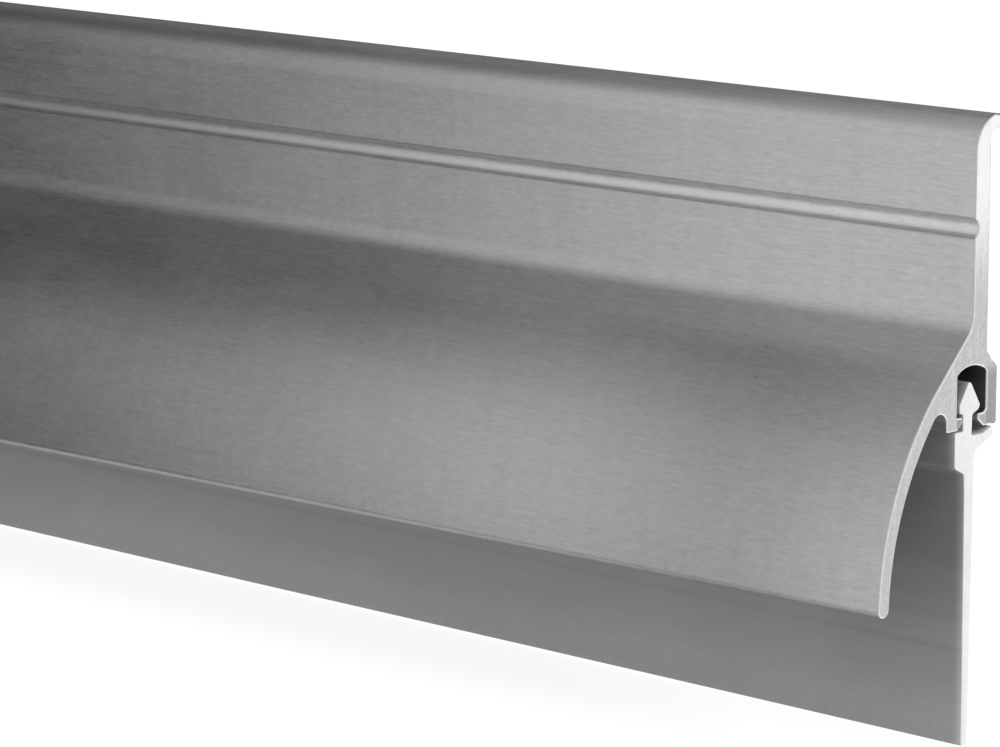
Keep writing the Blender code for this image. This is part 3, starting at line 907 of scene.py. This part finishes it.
washer = washer_mesh()
screw = screw_mesh()
for mesh, material in ((washer, mat_washer), (screw, mat_screw)):
    set_materials(mesh, material)
    sharpen(mesh, 38)
HEAD_Y = FLANGE_Y - 1.10                 # underside of the heads
TURNS = [17.0, 64.0, 38.0, 81.0, 5.0, 52.0]     # of each screw and washer
for number, (x, turn) in enumerate(zip(SCREW_X, TURNS), start=1):
    disc = link("flat_washer_%d" % number, washer.copy())
    pan = link("pan_head_screw_%d" % number, screw.copy())
    spin = Matrix.Rotation(math.radians(turn), 4, "Y")
    disc.data.transform(Matrix.Translation((x * MM, 0.0, GROOVE_Z * MM)) @ spin)
    pan.data.transform(Matrix.Translation((x * MM, HEAD_Y * MM, GROOVE_Z * MM)) @ spin)
    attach(disc, "washers")
    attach(pan, "screw_%d" % number)
    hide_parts("washer_%d" % number)
    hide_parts("screw_%d" % number)


# ------------------------------------------------------------------- stage
# From here on lengths are in metres.
scene = bpy.context.scene
scene.view_settings.view_transform = "Standard"
scene.view_settings.look = "None"
scene.view_settings.exposure = 0.0
scene.view_settings.gamma = 1.0

FLOOR_GAP = 0.0003                       # between the fin's tip and the floor
bm = bmesh.new()
bmesh.ops.create_circle(bm, cap_ends=True, radius=40.0, segments=96)
bmesh.ops.translate(bm, verts=bm.verts, vec=(0.0, 0.0, TIP * MM - FLOOR_GAP))
floor = link("studio_floor", finished(bm, "studio_floor"))
set_materials(floor.data, floor_material())
# The floor is seen, but it throws nothing back on to the object: the studio
# surround below does all of that, so the metal reflects the surround only.
floor.visible_glossy = False
floor.visible_diffuse = False
floor.visible_shadow = False


def toward(azimuth, elevation):
    """Unit vector. Azimuth 0 is in front of the sweep and 90 is off its +X end."""
    around, up = math.radians(azimuth), math.radians(elevation)
    return Vector((math.sin(around) * math.cos(up), -math.cos(around) * math.cos(up),
                   math.sin(up)))


# Pools and shades of the surround: (azimuth, elevation, tightness, amount).
BELLS = (
    (185.0, 33.0, 23.5, -0.84),          # shade behind, above the top edge
    (-84.0, 59.0, 4.4, -0.50),           # shade over the left end
    (-98.0, -19.0, 13.2, 1.12),          # low pool off the left end
    (-18.0, 61.0, 14.4, -0.83),          # shade overhead, in front
    (65.0, 59.0, 12.3, -0.90),           # shade overhead, to the right
    (108.0, 2.5, 6.6, -0.20),            # shade off the right end
    (55.0, -5.0, 3.0, -0.38),            # broad shade in front, to the right
    (-16.0, 10.0, 6.0, -0.34),           # shade in front
    (-30.0, -65.0, 6.0, -0.58))          # the darker ground under the front


def surround():
    """The studio: a pale surround with a soft-edged dark panel off the left
    end, and broad pools and shades, each a smooth bell about a direction. The
    camera sees plain white instead."""
    pale, darkest = 0.98, 0.02
    edge, soft = -0.545, 0.06            # place and width of the panel's edge
    world = bpy.data.worlds.new("studio")
    scene.world = world
    world.use_nodes = True
    net = Graph(world.node_tree)
    ray = net.add("ShaderNodeTexCoord").outputs["Generated"]

    def along(azimuth, elevation):
        node = net.add("ShaderNodeVectorMath", operation="DOT_PRODUCT")
        net.put(node.inputs[0], ray)
        net.put(node.inputs[1], toward(azimuth, elevation))
        return node.outputs["Value"]

    split = net.add("ShaderNodeSeparateXYZ")
    net.put(split.inputs[0], ray)
    height = split.outputs[2]
    # The dark panel is 0.05 at the horizon and lighter overhead.
    panel = net.math("MULTIPLY_ADD", height, 0.185, 0.05)
    panel = net.math("MULTIPLY_ADD", net.times(height, height), 0.62, panel)
    open_side = net.span(along(azimuth=78.5, elevation=4.5),
                         over=(edge - soft / 2.0, edge + soft / 2.0), smooth=True)
    level = net.math("MULTIPLY_ADD", open_side, net.math("SUBTRACT", pale, panel), panel)
    for azimuth, elevation, tightness, amount in BELLS:
        near = net.math("MULTIPLY_ADD", along(azimuth, elevation), tightness, -tightness)
        level = net.math("ADD", level, net.times(net.math("EXPONENT", near), amount))
    level = net.math("MAXIMUM", level, darkest)
    seen = net.add("ShaderNodeBackground")
    lit = net.add("ShaderNodeBackground")
    net.put(lit.inputs[1], level)
    path = net.add("ShaderNodeLightPath")
    mix = net.add("ShaderNodeMixShader")
    for background in (seen, lit):
        background.inputs[0].default_value = (1.0, 1.0, 1.0, 1.0)
    net.put(mix.inputs[0], path.outputs["Is Camera Ray"])
    net.put(mix.inputs[1], lit.outputs[0])
    net.put(mix.inputs[2], seen.outputs[0])
    net.put(net.add("ShaderNodeOutputWorld").inputs[0], mix.outputs[0])


def softbox(name, azimuth, elevation, size, power, distance=7.0):
    """An area light aimed at the origin, out of the camera's sight."""
    away = toward(azimuth, elevation)
    data = bpy.data.lights.new(name, "AREA")
    data.shape = "RECTANGLE"
    data.size, data.size_y = size
    data.energy = power
    obj = link(name, data)
    obj.location = away * distance
    obj.rotation_mode = "QUATERNION"
    obj.rotation_quaternion = (-away).to_track_quat("-Z", "Y")
    obj.visible_camera = False


surround()
softbox("end_light", azimuth=140.0, elevation=12.0, size=(2.6, 1.6), power=16.0)
softbox("key_right", azimuth=92.0, elevation=38.0, size=(3.0, 2.4), power=150.0)

# ------------------------------------------------------------------ camera
cam_data = bpy.data.cameras.new("camera")
cam = link("camera", cam_data)
cam_data.lens = 162.0
cam_data.sensor_width = 36.0
cam_data.clip_start, cam_data.clip_end = 0.01, 200.0
# The camera stands in front of the +X end and looks back along the sweep.
right = Vector((0.730345, 0.683079, 0.000068)).normalized()
ahead = Vector((-0.670821, 0.717257, -0.188527)).normalized()
down = ahead.cross(right)
turned = Matrix((right, -down, -ahead)).transposed().to_4x4()
cam.matrix_world = Matrix.Translation((car_hi.x + 0.211408, -0.283993, 0.069167)) @ turned
scene.camera = cam
